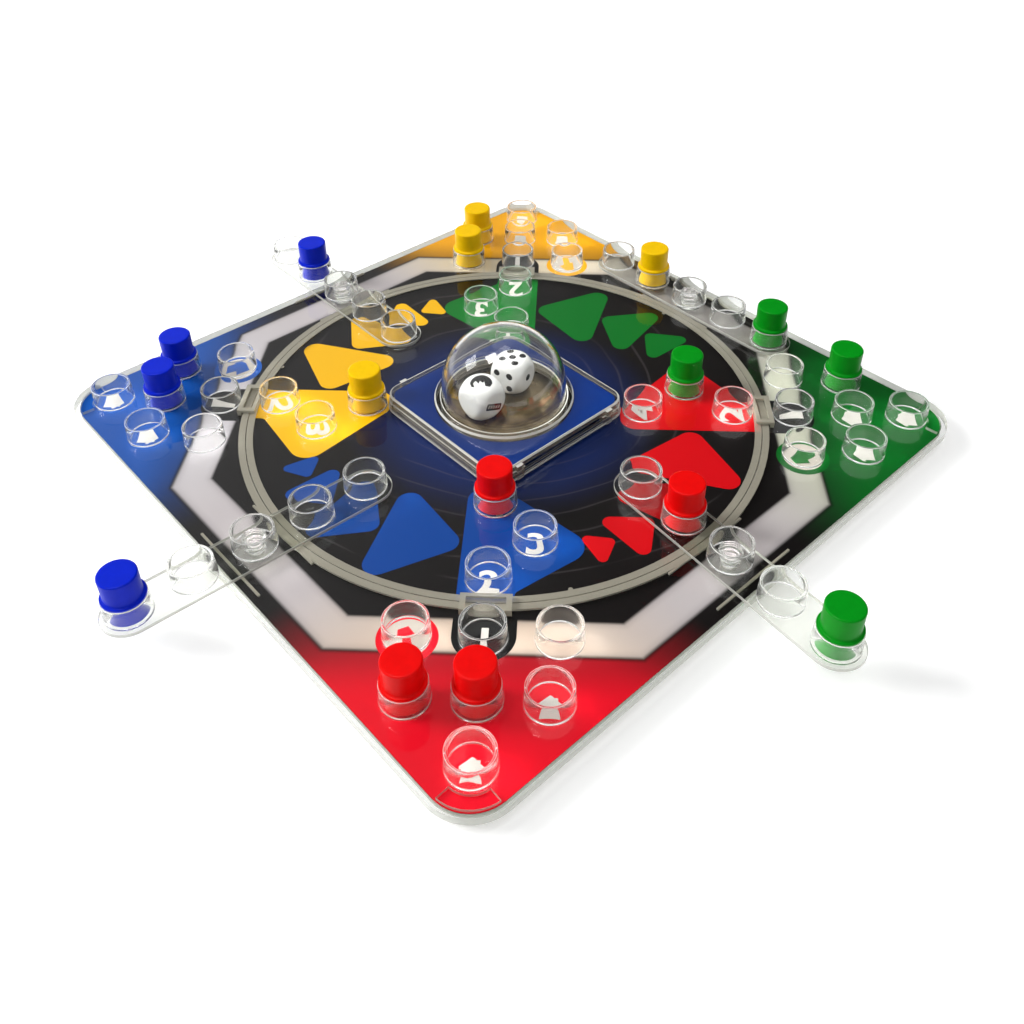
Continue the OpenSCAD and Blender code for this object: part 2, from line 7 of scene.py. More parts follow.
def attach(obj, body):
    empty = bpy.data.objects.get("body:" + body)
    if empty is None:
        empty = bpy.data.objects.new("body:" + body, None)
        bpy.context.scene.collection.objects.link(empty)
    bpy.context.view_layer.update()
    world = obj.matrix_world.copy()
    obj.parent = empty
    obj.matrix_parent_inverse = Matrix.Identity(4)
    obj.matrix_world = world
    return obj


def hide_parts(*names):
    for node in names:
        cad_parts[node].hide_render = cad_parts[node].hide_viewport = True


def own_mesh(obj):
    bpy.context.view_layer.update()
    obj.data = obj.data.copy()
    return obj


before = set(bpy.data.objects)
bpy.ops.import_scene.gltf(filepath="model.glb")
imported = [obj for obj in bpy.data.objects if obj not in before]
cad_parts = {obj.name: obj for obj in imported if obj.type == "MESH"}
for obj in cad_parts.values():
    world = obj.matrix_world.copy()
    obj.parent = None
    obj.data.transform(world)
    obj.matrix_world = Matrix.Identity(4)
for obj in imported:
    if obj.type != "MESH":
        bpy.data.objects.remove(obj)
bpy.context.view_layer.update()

MM = 0.001
TAU = 2 * math.pi


# ---------------------------------------------------------------- sizes, mm
DECK_Z, DISC_Z = 8.0, 8.4          # the clear plates' tops
PRINT_GAP = 0.1                    # a sheet's top lies this far under its cover
SHEET_TOP, DISC_SHEET_TOP = 6.8 - PRINT_GAP, 7.2 - PRINT_GAP
INK_T = 0.03                       # each ink stands this far above the one under it
HOUSING_HALF, HOUSING_CORNER = 34.3, 7.0
CUP_BORE, CUP_MOUTH, CUP_FOOT, CUP_H = 6.7, 7.5, 8.0, 7.6
CORNERS = {"red": -45, "green": 45, "yellow": 135, "blue": 225}
LANE_OF = {"blue": -45, "red": 45, "green": 135, "yellow": 225}
CORNER_CUPS = [(114.18, -23.9), (114.18, 0), (114.18, 23.9),
               (137.28, -21.3), (137.28, 0), (137.28, 21.3), (158.48, 0)]
LANE_CUPS = [(90.4, 0), (72.65, 14.8), (54.9, 0)]
ARM_PITCH, ARM_Z, ARM_T = 22.3, 9.1, 1.2
PIVOT_D = 113.2
DOME_R, DOME_WALL, DOME_TOP, DOME_FOOT = 24.5, 1.2, 45.1, 9.9
FLANGE_R, FLANGE_T = 28.3, 1.2
PLUG_R, COLLAR_R, COLLAR_T, KNOB_R, KNOB_H = 6.3, 7.3, 1.0, 6.35, 10.0
# Each arm's pivot stands out along the first angle, and its cups run along the second
ARMS = {"south": (-90, -92.2), "east": (0, -5.8), "north": (90, -0.5), "west": (180, 179.2)}


def turned(angle, d, l):
    """A place d out along a direction and l to its left, in mm."""
    a = math.radians(angle)
    return d * math.cos(a) - l * math.sin(a), d * math.sin(a) + l * math.cos(a)


def arm_place(side, k):
    out, along = ARMS[side]
    x, y = turned(out, PIVOT_D, 0)
    dx, dy = turned(along, k * ARM_PITCH, 0)
    return x + dx, y + dy


def ink(r, g, b):
    """A printed colour, given as it looks, as a linear colour."""
    def lin(v):
        v /= 255
        return v / 12.92 if v <= 0.04045 else ((v + 0.055) / 1.055) ** 2.4
    return lin(r), lin(g), lin(b), 1.0


def deeper(colour, share):
    return tuple(share * c for c in colour[:3]) + (1,)


RED, GREEN = ink(240, 2, 34), ink(0, 104, 30)
YELLOW, BLUE = ink(250, 176, 2), ink(8, 82, 172)
LANE_INK = {"red": ink(225, 0, 16), "green": ink(0, 120, 36),
            "yellow": ink(255, 194, 0), "blue": ink(0, 70, 158)}
CORNER_INK = {"red": RED, "green": GREEN, "yellow": YELLOW, "blue": BLUE}
PEG_INK = {"red": ink(244, 4, 4), "green": ink(0, 150, 24),
           "yellow": ink(255, 205, 0), "blue": ink(0, 36, 206)}
FIELD, WHITE_INK = ink(20, 16, 16), ink(222, 216, 210)


# ---------------------------------------------------------------- shader maths
class Value:
    """A number in a shader; arithmetic on it adds Math nodes."""

    def __init__(self, finish, socket):
        self.finish, self.socket = finish, socket

    def _maths(self, kind, *others):
        sockets = {i: getattr(o, "socket", o) for i, o in enumerate(others)}
        return self.finish.add("Math", {"operation": kind}, sockets)

    def __add__(self, o): return self._maths("ADD", self, o)
    def __sub__(self, o): return self._maths("SUBTRACT", self, o)
    def __mul__(self, o): return self._maths("MULTIPLY", self, o)
    def __rsub__(self, o): return self._maths("SUBTRACT", o, self)
    __radd__ = __add__
    __rmul__ = __mul__
    def __abs__(self): return self._maths("ABSOLUTE", self)

    def low(self, o): return self._maths("MINIMUM", self, o)
    def high(self, o): return self._maths("MAXIMUM", self, o)
    def root(self): return self._maths("SQRT", self)
    def sine(self): return self._maths("SINE", self)
    def above(self, o): return self._maths("GREATER_THAN", self, o)

    def rise(self, start, end):
        """0 before start, 1 after end, smooth between."""
        return self.finish.add("MapRange", {"interpolation_type": "SMOOTHSTEP"},
                               {"Value": self.socket, "From Min": start, "From Max": end})


class Finish:
    """A material that is built node by node."""

    def __init__(self, name):
        self.material = bpy.data.materials.new(name)
        self.material.use_nodes = True
        self.tree = self.material.node_tree
        self.tree.nodes.clear()
        self.out = self.tree.nodes.new("ShaderNodeOutputMaterial")
        self._xyz = None

    def add(self, kind, settings=None, sockets=None, output=0):
        node = self.tree.nodes.new("ShaderNode" + kind)
        for key, value in (settings or {}).items():
            if key == "stops":
                ramp = node.color_ramp
                while len(ramp.elements) < len(value):
                    ramp.elements.new(0.5)
                for element, (place, colour) in zip(ramp.elements, value):
                    element.position, element.color = place, colour
            else:
                setattr(node, key, value)
        for key, value in (sockets or {}).items():
            value = getattr(value, "socket", value)
            if isinstance(value, bpy.types.NodeSocket):
                self.tree.links.new(value, node.inputs[key])
            else:
                node.inputs[key].default_value = value
        return Value(self, node.outputs[output])

    def place(self):
        """The point's own place in mm, as three values."""
        if self._xyz is None:
            point = self.add("TexCoord", None, None, "Object")
            scaled = self.add("VectorMath", {"operation": "SCALE"}, {0: point, "Scale": 1000.0})
            self._xyz = [self.add("SeparateXYZ", None, {0: scaled}, i) for i in range(3)]
            self.point = scaled
        return self._xyz

    def radius(self):
        """How far the point is from the board's upright axis, in mm."""
        x, y, _ = self.place()
        return (x * x + y * y).root()

    def upright(self):
        """1 on level faces, 0 on upright walls."""
        normal = self.add("NewGeometry", None, None, "True Normal")
        return abs(self.add("SeparateXYZ", None, {0: normal}, 2))

    def mix(self, share, first, second):
        """A colour between two colours."""
        return self.add("Mix", {"data_type": "RGBA", "clamp_factor": True},
                        {0: share, 6: first, 7: second}, 2)

    def noise(self, scale, detail=2.0, rough=0.5):
        self.place()
        return self.add("TexNoise", None, {"Vector": self.point, "Scale": scale,
                                           "Detail": detail, "Roughness": rough}, "Fac")

    def bump(self, height, strength, distance=0.1):
        return self.add("Bump", None, {"Height": height, "Strength": strength,
                                       "Distance": distance * MM}, "Normal")

    def solid(self, **sockets):
        names = {key.replace("_", " ").title().replace("Ior", "IOR"): v for key, v in sockets.items()}
        return self.add("BsdfPrincipled", None, names)

    def streaked(self, share, colour, deepest):
        """A colour that runs down to a deeper tone of itself."""
        return self.mix(share, colour, deeper(colour, deepest))

    def sheet_ink(self, colour):
        """Printed paper: the faint tooth of the sheet shows through the ink."""
        grain = self.noise(2.2, 5, 0.65)
        colour = self.mix(grain * 0.12, colour, (0, 0, 0, 1))
        return self.done(self.solid(base_color=colour, roughness=grain * 0.1 + 0.45,
                                    specular_ior_level=0.15))

    def done(self, shader):
        self.tree.links.new(shader.socket, self.out.inputs["Surface"])
        return self.material


def lamps_pass(f, shader, tint):
    """Lets lamp light through a clear wall, so what it covers stays lit."""
    shadow = f.add("LightPath", None, None, "Is Shadow Ray")
    clear = f.add("BsdfTransparent", None, {"Color": tint})
    return f.add("MixShader", None, {0: shadow, 1: shader, 2: clear})


def clear_moulding(name, tint, milk, milk_and_glint_colour, gloss=0.04, edge=0.0, ior=1.49):
    """Solid clear plastic that bends light, with a faint milky haze; on its rounded edges, by edge, more of
    the pale haze colour is mixed in as a painted highlight.
    """
    f = Finish(name)
    rough = f.noise(0.6) * 0.03 + gloss
    glass = f.add("BsdfPrincipled", None, {
        "Base Color": tint, "Roughness": rough, "IOR": ior, "Transmission Weight": 1.0})
    haze_and_glint = f.solid(base_color=milk_and_glint_colour, roughness=0.35, ior=1.49)
    share = milk
    # Painted highlight: edge mixes the pale haze shader into the rounded edges.
    if edge:
        up = f.upright()
        share = up.rise(0.12, 0.3) * (1 - up.rise(0.95, 0.995)) * edge + milk
    body = f.add("MixShader", None, {0: share, 1: glass, 2: haze_and_glint})
    return f.done(lamps_pass(f, body, tint))


def thin_sheet(name, tint, edge_milk, edge_colour, raised=None, raised_colour=None, lines=None):
    """A clear flat plate: it shows what is under it and reflects the room.
    Its side walls look milky, and so does all that stands above raised.
    Its rounded edges, and where lines says so, get a painted highlight."""
    f = Finish(name)
    up = f.upright()
    side = 1 - up.rise(0.2, 0.6)
    gloss = f.add("BsdfGlossy", None, {"Roughness": f.noise(0.15) * 0.03 + 0.03,
                                       "Color": (1, 1, 1, 1)})
    through = f.add("BsdfTransparent", None, {"Color": tint})
    front = 1 - f.add("NewGeometry", None, None, "Backfacing")
    mirror = f.add("Fresnel", None, {"IOR": 1.45}) * front
    sheet = f.add("MixShader", None, {0: mirror, 1: through, 2: gloss})
    streak = f.noise(1.3, 4)
    rim = f.solid(base_color=f.streaked(streak, edge_colour, 0.93), roughness=0.18, ior=1.49)
    body = f.add("MixShader", None, {0: side * edge_milk, 1: sheet, 2: rim})
    # Painted highlight: a near-white plastic mixed onto the rounded edges and the given lines.
    glint = up.rise(0.15, 0.3) * (1 - up.rise(0.93, 0.99)) * 0.85
    if lines:
        glint = glint.high(lines(f) * 0.8)
    bright = f.solid(base_color=f.mix(streak, ink(234, 234, 228), ink(222, 222, 215)),
                     roughness=0.15, ior=1.49)
    body = f.add("MixShader", None, {0: glint, 1: body, 2: bright})
    if raised is not None:
        lip = f.solid(base_color=f.streaked(streak, raised_colour, 0.86), roughness=0.2, ior=1.49)
        height = f.place()[2]
        body = f.add("MixShader", None, {0: height.above(raised) * 0.7, 1: body, 2: lip})
    return f.done(body)


def moulded_plastic(name, colour):
    """Coloured peg plastic: satin, with faint flow marks and fine scratches."""
    f = Finish(name)
    flow = f.noise(0.35, 3)
    fine = f.noise(6.0, 4, 0.6)
    shader = f.add("BsdfPrincipled", None, {
        "Base Color": f.mix(flow, deeper(colour, 0.82), colour),
        "Roughness": fine * 0.14 + 0.26, "IOR": 1.5,
        "Specular IOR Level": 0.14,
        "Subsurface Weight": 0.12, "Subsurface Radius": (1.0, 0.6, 0.4), "Subsurface Scale": 0.002,
        "Normal": f.bump(fine, 0.05)})
    return f.done(shader)


def printed(name, colour):
    """One flat printed ink with the faint tooth of the sheet."""
    f = Finish(name)
    grain = f.noise(2.2, 5, 0.65)
    return f.done(f.solid(base_color=f.mix(grain, deeper(colour, 0.9), colour),
                          roughness=grain * 0.1 + 0.45, specular_ior_level=0.15))


def board_print():
    """The board's print: coloured corners, a dark field and a pale octagon track."""
    f = Finish("printed_board")
    x, y, _ = f.place()
    ax, ay = abs(x), abs(y)
    side, low = ax.high(ay), ax.low(ay)
    across = (ax + ay) * (1 / math.sqrt(2))
    octagon = side.high(across)
    east, north = x.above(0), y.above(0)
    corner = f.mix(north, f.mix(east, BLUE, RED), f.mix(east, YELLOW, GREEN))
    shade = across.rise(116, 138) * 0.55 + 0.45
    corner = f.mix(shade, (0.01, 0.01, 0.012, 1), corner)
    colour = f.mix(low.rise(24, 62), FIELD, corner)
    colour = f.mix(octagon.rise(119.3, 121.5), FIELD, colour)
    warm = f.mix(north, f.mix(east, ink(212, 206, 210), ink(226, 204, 186)),
                 f.mix(east, ink(222, 206, 178), ink(204, 204, 184)))
    cloud = f.noise(0.028, 3)
    pale = f.mix(low.rise(20, 70), f.mix(cloud, ink(196, 186, 190), ink(216, 208, 208)), warm)
    track = octagon.rise(105.6, 107.2) * (1 - octagon.rise(118.4, 120.2))
    edge = 1 - abs(octagon - 112.8).rise(3.2, 7.2) * 0.28
    pale = f.mix(edge, (0.12, 0.10, 0.11, 1), pale)
    colour = f.mix(track, colour, pale)
    return f.sheet_ink(colour)


def disc_print():
    """The turntable's print: a dark field with faint arcs, blue towards the middle."""
    f = Finish("printed_disc")
    r = f.radius()
    x, y, _ = f.place()
    bend = f.noise(0.012, 2) * 26
    arcs = ((r + bend) * 0.55 + (x - y) * 0.11).sine()
    faint = arcs.rise(0.93, 1.0) * f.noise(0.02, 1).rise(0.4, 0.62)
    glow = 1 - r.rise(30, 66)
    colour = f.mix(glow, FIELD, ink(6, 38, 104))
    colour = f.mix(faint * 0.16, colour, ink(120, 112, 116))
    return f.sheet_ink(colour)


def card_print():
    """The blue card under the popper's housing."""
    f = Finish("printed_card")
    r = f.radius()
    return f.sheet_ink(f.mix(r.rise(26, 46), ink(6, 42, 112), ink(8, 56, 142)))


def pressed_metal():
    """Thin pressed metal, warm brown, with a brushed grain and painted reflections: dark and light blotches
    in its colour.
    """
    f = Finish("pressed_metal")
    r = f.radius()
    reflection_blotch = f.noise(0.09, 4, 0.6)
    turn = (r * 5.0 + f.noise(0.4) * 4).sine() * 0.5 + 0.5
    # Painted reflection: the colour runs between dark and light brown in blotches, which also vary the
    # roughness.
    colour = f.mix(reflection_blotch.rise(0.3, 0.7), ink(84, 71, 49), ink(136, 119, 90))
    return f.done(f.solid(base_color=colour, metallic=0.9, roughness=reflection_blotch * 0.2 + 0.14,
                          normal=f.bump(turn, 0.05, 0.05)))


def tray_plastic():
    f = Finish("tray_plastic")
    grain = f.noise(1.8, 4)
    return f.done(f.solid(base_color=f.mix(grain, ink(198, 197, 187), ink(207, 206, 197)),
                          roughness=grain * 0.15 + 0.45, normal=f.bump(grain, 0.03)))


def bright_steel():
    f = Finish("bright_steel")
    brushed = f.noise(1.2, 5, 0.7)
    return f.done(f.solid(base_color=f.mix(brushed, ink(150, 150, 154), ink(196, 196, 198)),
                          metallic=1.0, roughness=brushed * 0.2 + 0.2))


def die_plastic():
    f = Finish("die_plastic")
    fine = f.noise(1.5, 4)
    return f.done(f.add("BsdfPrincipled", None, {
        "Base Color": f.mix(fine, ink(200, 200, 197), ink(212, 212, 209)),
        "Roughness": fine * 0.1 + 0.16, "IOR": 1.5,
        "Subsurface Weight": 0.2, "Subsurface Radius": (1.0, 0.9, 0.8), "Subsurface Scale": 0.001}))


def housing_highlight_lines(f):
    """1 along the housing's top rim, its ledge, its foot and the collar's two edges: where the painted
    highlight lines go.
    """
    x, y, z = f.place()
    flat = HOUSING_HALF - HOUSING_CORNER
    qx, qy = (abs(x) - flat).high(0), (abs(y) - flat).high(0)
    out = (qx * qx + qy * qy).root() - HOUSING_CORNER
    r = (x * x + y * y).root()
    rim = out.above(-0.75) * z.above(14.55)
    foot = out.above(-0.3) * (1 - z.above(9.0))
    ledge = out.above(-0.25) * z.above(12.2) * (1 - z.above(12.5)) * 0.6
    inner = (1 - abs(r - 25.2).above(0.22)) * z.above(15.3)
    outer = (1 - abs(r - 27.3).above(0.28)) * z.above(15.0)
    return rim.high(foot).high(ledge).high(inner).high(outer)


CLEAR_TINT = (0.985, 0.99, 0.985, 1)
CREAM = ink(178, 173, 156)
# The cups' rounded edges get a painted highlight (edge=0.45).
clear_cup = clear_moulding("clear_cup_plastic", CLEAR_TINT, 0.03, ink(232, 232, 228), edge=0.45, ior=1.28)
clear_dome = clear_moulding("clear_dome_plastic", CLEAR_TINT, 0.0, ink(226, 230, 226), 0.0)
deck_sheet = thin_sheet("clear_deck", CLEAR_TINT, 0.66, ink(204, 206, 195), 8.05, CREAM)
disc_sheet = thin_sheet("clear_turntable", CLEAR_TINT, 0.5, ink(200, 200, 188), 8.45, CREAM)
# The housing carries painted highlight lines along its rim, ledge, foot and collar.
housing_sheet = thin_sheet("clear_housing", CLEAR_TINT, 0.42, ink(168, 160, 140), lines=housing_highlight_lines)
strip_sheet = thin_sheet("clear_arm", (0.91, 0.915, 0.895, 1), 0.7, ink(206, 206, 196))
clip_sheet = thin_sheet("clear_clip", CLEAR_TINT, 0.6, ink(206, 202, 182), 10.3, CREAM)
BOARD_PRINT, DISC_PRINT, CARD_PRINT = board_print(), disc_print(), card_print()
METAL, TRAY, STEEL, DIE = pressed_metal(), tray_plastic(), bright_steel(), die_plastic()
PEG = {c: moulded_plastic("peg_" + c, v) for c, v in PEG_INK.items()}
INKS = {c: printed("ink_" + c, v) for c, v in LANE_INK.items()}
CORNER_INKS = {c: printed("corner_ink_" + c, v) for c, v in CORNER_INK.items()}
WHITE, BLACK = printed("white_ink", WHITE_INK), printed("black_ink", ink(14, 13, 14))
PALE = printed("pale_ink", ink(200, 190, 180))


# ---------------------------------------------------------------- mesh helpers
def piece(name, bm, body, *materials, slot=None, smooth=30):
    """Makes a finished piece from a bmesh in mm, riding on a body."""
    bmesh.ops.scale(bm, vec=(MM, MM, MM), verts=bm.verts)
    mesh = bpy.data.meshes.new(name)
    bm.to_mesh(mesh)
    bm.free()
    for m in materials:
        mesh.materials.append(m)
    return ready(name, mesh, body, slot, smooth)


def ready(name, mesh, body, slot=None, smooth=30):
    obj = bpy.data.objects.new(name, mesh)
    bpy.context.scene.collection.objects.link(obj)
    if smooth:
        mesh.shade_smooth()
        mesh.set_sharp_from_angle(angle=math.radians(smooth))
    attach(obj, body)
    return obj


def ring_loop(r, z, n=64, x=0.0, y=0.0):
    return [(x + r * math.cos(TAU * i / n), y + r * math.sin(TAU * i / n), z) for i in range(n)]


def lathe(bm, profile, n=64, x=0.0, y=0.0, closed=False, material=0):
    """Turns a profile of (radius, height) points round a vertical axis."""
    loops, tips = [], {}
    for k, (r, z) in enumerate(profile):
        if r < 1e-6:
            tips[k] = bm.verts.new((x, y, z))
            loops.append(None)
        else:
            loops.append([bm.verts.new(p) for p in ring_loop(r, z, n, x, y)])
    order = list(range(len(profile))) + ([0] if closed else [])
    for a, b in zip(order, order[1:]):
        la, lb = loops[a], loops[b]
        for i in range(n):
            j = (i + 1) % n
            if la and lb:
                face = (la[i], la[j], lb[j], lb[i])
            elif la:
                face = (la[i], la[j], tips[b])
            elif lb:
                face = (tips[a], lb[j], lb[i])
            else:
                continue
            bm.faces.new(face).material_index = material


def outward(bm):
    bmesh.ops.remove_doubles(bm, verts=bm.verts, dist=1e-4)
    bmesh.ops.recalc_face_normals(bm, faces=bm.faces)
    return bm


def rounded(points, radius, steps=6):
    """A polygon with its corners rounded to a radius: list of (x, y)."""
    out = []
    n = len(points)
    for i in range(n):
        p, q, s = (Vector(points[k % n]) for k in (i - 1, i, i + 1))
        r = radius[i] if isinstance(radius, (list, tuple)) else radius
        a, b = (p - q).normalized(), (s - q).normalized()
        half = math.acos(max(-1, min(1, a.dot(b)))) / 2
        if r <= 0:
            out.append(tuple(q))
            continue
        cut = r / math.tan(half)
        middle = q + (a + b).normalized() * (r / math.sin(half))
        start, end = q + a * cut - middle, q + b * cut - middle
        t0 = math.atan2(start.y, start.x)
        sweep = (math.atan2(end.y, end.x) - t0 + math.pi) % TAU - math.pi
        for k in range(steps + 1):
            t = t0 + sweep * k / steps
            out.append((middle.x + r * math.cos(t), middle.y + r * math.sin(t)))
    return out


def inlay(bm, outline, z, angle=0.0, d=0.0, l=0.0, material=0, thick=0.05):
    """A thin flat slab with that outline, turned and placed on a sheet."""
    pts = []
    for u, v in outline:
        pts.append(turned(angle, d + u, l + v))
    area = sum(p[0] * q[1] - q[0] * p[1] for p, q in zip(pts, pts[1:] + pts[:1]))
    if area < 0:
        pts.reverse()
    low = [bm.verts.new((x, y, z - thick)) for x, y in pts]
    high = [bm.verts.new((x, y, z)) for x, y in pts]
    n = len(pts)
    bm.faces.new(list(reversed(low))).material_index = material
    bm.faces.new(high).material_index = material
    for i in range(n):
        j = (i + 1) % n
        bm.faces.new((low[i], low[j], high[j], high[i])).material_index = material


def remade(node, body, material, soft=0.0, slot="clear_plastic", sink=0.0):
    """The CAD node's form as one closed skin, with true flats and softened edges.
    A sheet's top sinks a little, so that it and the cover on it stay two surfaces."""
    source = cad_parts[node].data
    mesh = bpy.data.meshes.new("bare")
    mesh.from_pydata([v.co / MM for v in source.vertices], [], [p.vertices[:] for p in source.polygons])
    bm = bmesh.new()
    bm.from_mesh(mesh)
    bpy.data.meshes.remove(mesh)
    bmesh.ops.remove_doubles(bm, verts=bm.verts, dist=2e-3)
    bmesh.ops.dissolve_limit(bm, angle_limit=math.radians(0.5), verts=bm.verts, edges=bm.edges)
    top = max(v.co.z for v in bm.verts) - 1e-3
    for v in bm.verts:
        if v.co.z > top:
            v.co.z -= sink
    if soft:
        sharp = [e for e in bm.edges
                 if len(e.link_faces) == 2 and e.calc_face_angle_signed() > math.radians(40)]
        bmesh.ops.bevel(bm, geom=sharp, offset=soft, segments=2, profile=0.6, affect="EDGES")
    obj = piece("dressed_" + node, bm, body, material, slot=slot)
    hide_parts(node)
    return obj


def wearing(node, material):
    """Gives a CAD node its finish."""
    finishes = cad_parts[node].data.materials
    finishes.clear()
    finishes.append(material)


# ---------------------------------------------------------------- camera and light
camera = bpy.data.objects.new("photo_camera", bpy.data.cameras.new("photo_camera"))
bpy.context.scene.collection.objects.link(camera)
right, up = Vector((0.67593, 0.73694, -0.00598)), Vector((-0.42731, 0.39852, 0.81154))
look = Vector((-0.60044, 0.54598, -0.58427))
camera.matrix_world = Matrix(((right.x, up.x, -look.x, 0.246171), (right.y, up.y, -look.y, -0.213495),
                              (right.z, up.z, -look.z, 0.267731), (0, 0, 0, 1)))
camera.data.lens, camera.data.sensor_width = 36.55, 36.0
camera.data.shift_x, camera.data.shift_y = -0.0109, -0.1515
camera.data.clip_start = 0.01
bpy.context.scene.camera = camera

scene = bpy.context.scene
scene.view_settings.view_transform = "Standard"


def studio():
    """Pale floor, white surroundings and soft lamps."""
    world = bpy.data.worlds.new("studio")
    scene.world = world
    world.use_nodes = True
    tree = world.node_tree
    tree.nodes.clear()
    node = lambda kind: tree.nodes.new("ShaderNode" + kind)
    link = tree.links.new

    def maths(kind, first, second):
        m = node("Math")
        m.operation = kind
        for socket, value in zip(m.inputs, (first, second)):
            if isinstance(value, bpy.types.NodeSocket):
                link(value, socket)
            else:
                socket.default_value = value
        return m.outputs[0]

    out, plain, seen, mix = node("OutputWorld"), node("Background"), node("Background"), node("MixShader")
    path = node("LightPath").outputs
    straight, through, glossy = path["Is Camera Ray"], path["Is Transmission Ray"], path["Is Glossy Ray"]
    plain.inputs["Strength"].default_value = 0.34
    seen.inputs["Color"].default_value = (1, 1, 1, 1)
    # Reflections find the white wall at the left and the room's shade at the right
    place, along, fade = node("TexCoord"), node("VectorMath"), node("MapRange")
    along.operation = "DOT_PRODUCT"
    along.inputs[1].default_value = (-0.87, -0.49, 0.0)
    link(place.outputs["Generated"], along.inputs[0])
    link(along.outputs["Value"], fade.inputs["Value"])
    fade.interpolation_type = "SMOOTHSTEP"
    for key, value in (("From Min", 0.0), ("From Max", 0.8), ("To Min", 0.032), ("To Max", 0.8)):
        fade.inputs[key].default_value = value
    level = maths("MAXIMUM", maths("MULTIPLY", through, 0.8), maths("MULTIPLY", glossy, fade.outputs[0]))
    link(maths("MAXIMUM", straight, level), seen.inputs["Strength"])
    link(maths("MAXIMUM", maths("MAXIMUM", straight, through), glossy), mix.inputs[0])
    for socket, value in ((mix.inputs[1], plain), (mix.inputs[2], seen), (out.inputs["Surface"], mix)):
        link(value.outputs[0], socket)

    f = Finish("pale_floor")
    seen_straight = f.add("LightPath", None, None, "Is Camera Ray")
    base = f.solid(base_color=(0.9, 0.9, 0.9, 1), roughness=0.7)
    far = f.radius().rise(450, 1600)
    glow = f.add("Emission", None, {"Color": (1, 1, 1, 1), "Strength": far * seen_straight * 0.9 + 0.3})
    lit = f.add("AddShader", None, {0: base, 1: glow})
    bm = bmesh.new()
    bmesh.ops.create_grid(bm, x_segments=1, y_segments=1, size=4.0)
    mesh = bpy.data.meshes.new("floor")
    bm.to_mesh(mesh)
    bm.free()
    mesh.materials.append(f.done(lit))
    floor = bpy.data.objects.new("floor", mesh)
    floor.location.z = -0.0002
    scene.collection.objects.link(floor)

    # name, place, size, power, and whether glossy surfaces and plain ones see it
    for name, place, size, power, shines, lights in (
            ("left_softbox", (-1.25, -1.05, 1.1), 0.7, 33.0, False, True),
            ("top_softbox", (0.1, 0.0, 1.5), 1.0, 9.0, False, True),
            ("window", (-0.19, -0.35, 1.14), 0.36, 5.0, True, False)):
        lamp = bpy.data.objects.new(name, bpy.data.lights.new(name, "AREA"))
        lamp.data.shape, lamp.data.size, lamp.data.energy = "SQUARE", size, power
        lamp.location = place
        lamp.visible_glossy, lamp.visible_diffuse = shines, lights
        lamp.rotation_euler = (-Vector(place)).to_track_quat("-Z", "Y").to_euler()
        scene.collection.objects.link(lamp)


studio()


# ---------------------------------------------------------------- peg cups
def cup_tree():
    """Geometry nodes that stand one clear cup on each point of a mesh."""
    tree = bpy.data.node_groups.new("stand_cups", "GeometryNodeTree")
    face = tree.interface
    face.new_socket("Places", in_out="INPUT", socket_type="NodeSocketGeometry")
    for name, value in (("Bore", CUP_BORE), ("Mouth", CUP_MOUTH), ("Foot", CUP_FOOT), ("Height", CUP_H)):
        face.new_socket(name, in_out="INPUT", socket_type="NodeSocketFloat").default_value = value * MM
    face.new_socket("Plastic", in_out="INPUT", socket_type="NodeSocketMaterial")
    face.new_socket("Cups", in_out="OUTPUT", socket_type="NodeSocketGeometry")
    n, link = tree.nodes, tree.links
    add = lambda kind: n.new("GeometryNode" + kind)
    given, made = n.new("NodeGroupInput"), n.new("NodeGroupOutput")

    def minus(a, b):
        m = n.new("ShaderNodeMath")
        m.operation = "SUBTRACT"
        link.new(a, m.inputs[0])
        link.new(b, m.inputs[1])
        return m.outputs[0]

    def point(x, y):
        v = n.new("ShaderNodeCombineXYZ")
        for socket, value in zip(v.inputs, (x, y)):
            if value is not None:
                link.new(value, socket)
        return v.outputs[0]

    wall = add("CurvePrimitiveQuadrilateral")
    wall.mode = "POINTS"
    bore, height = given.outputs["Bore"], given.outputs["Height"]
    mouth, foot = minus(given.outputs["Mouth"], bore), minus(given.outputs["Foot"], bore)
    up = n.new("ShaderNodeMath")
    up.operation = "MULTIPLY"
    link.new(height, up.inputs[0])
    up.inputs[1].default_value = -1
    height = up.outputs[0]
    for socket, value in zip(("Point 1", "Point 2", "Point 3", "Point 4"),
                             (point(None, None), point(foot, None),
                              point(mouth, height), point(None, height))):
        link.new(value, wall.inputs[socket])
    soften = add("FilletCurve")
    soften.mode = "POLY"
    soften.inputs["Radius"].default_value = 0.22 * MM
    soften.inputs["Count"].default_value = 3
    link.new(wall.outputs[0], soften.inputs[0])
    circle = add("CurvePrimitiveCircle")
    circle.inputs["Resolution"].default_value = 56
    link.new(bore, circle.inputs["Radius"])
    turn = add("CurveToMesh")
    link.new(circle.outputs[0], turn.inputs["Curve"])
    link.new(soften.outputs[0], turn.inputs["Profile Curve"])
    stand = add("InstanceOnPoints")
    link.new(given.outputs["Places"], stand.inputs["Points"])
    link.new(turn.outputs[0], stand.inputs["Instance"])
    real, coat = add("RealizeInstances"), add("SetMaterial")
    link.new(stand.outputs[0], real.inputs[0])
    link.new(real.outputs[0], coat.inputs[0])
    link.new(given.outputs["Plastic"], coat.inputs["Material"])
    link.new(coat.outputs[0], made.inputs[0])
    return tree


CUP_TREE = cup_tree()


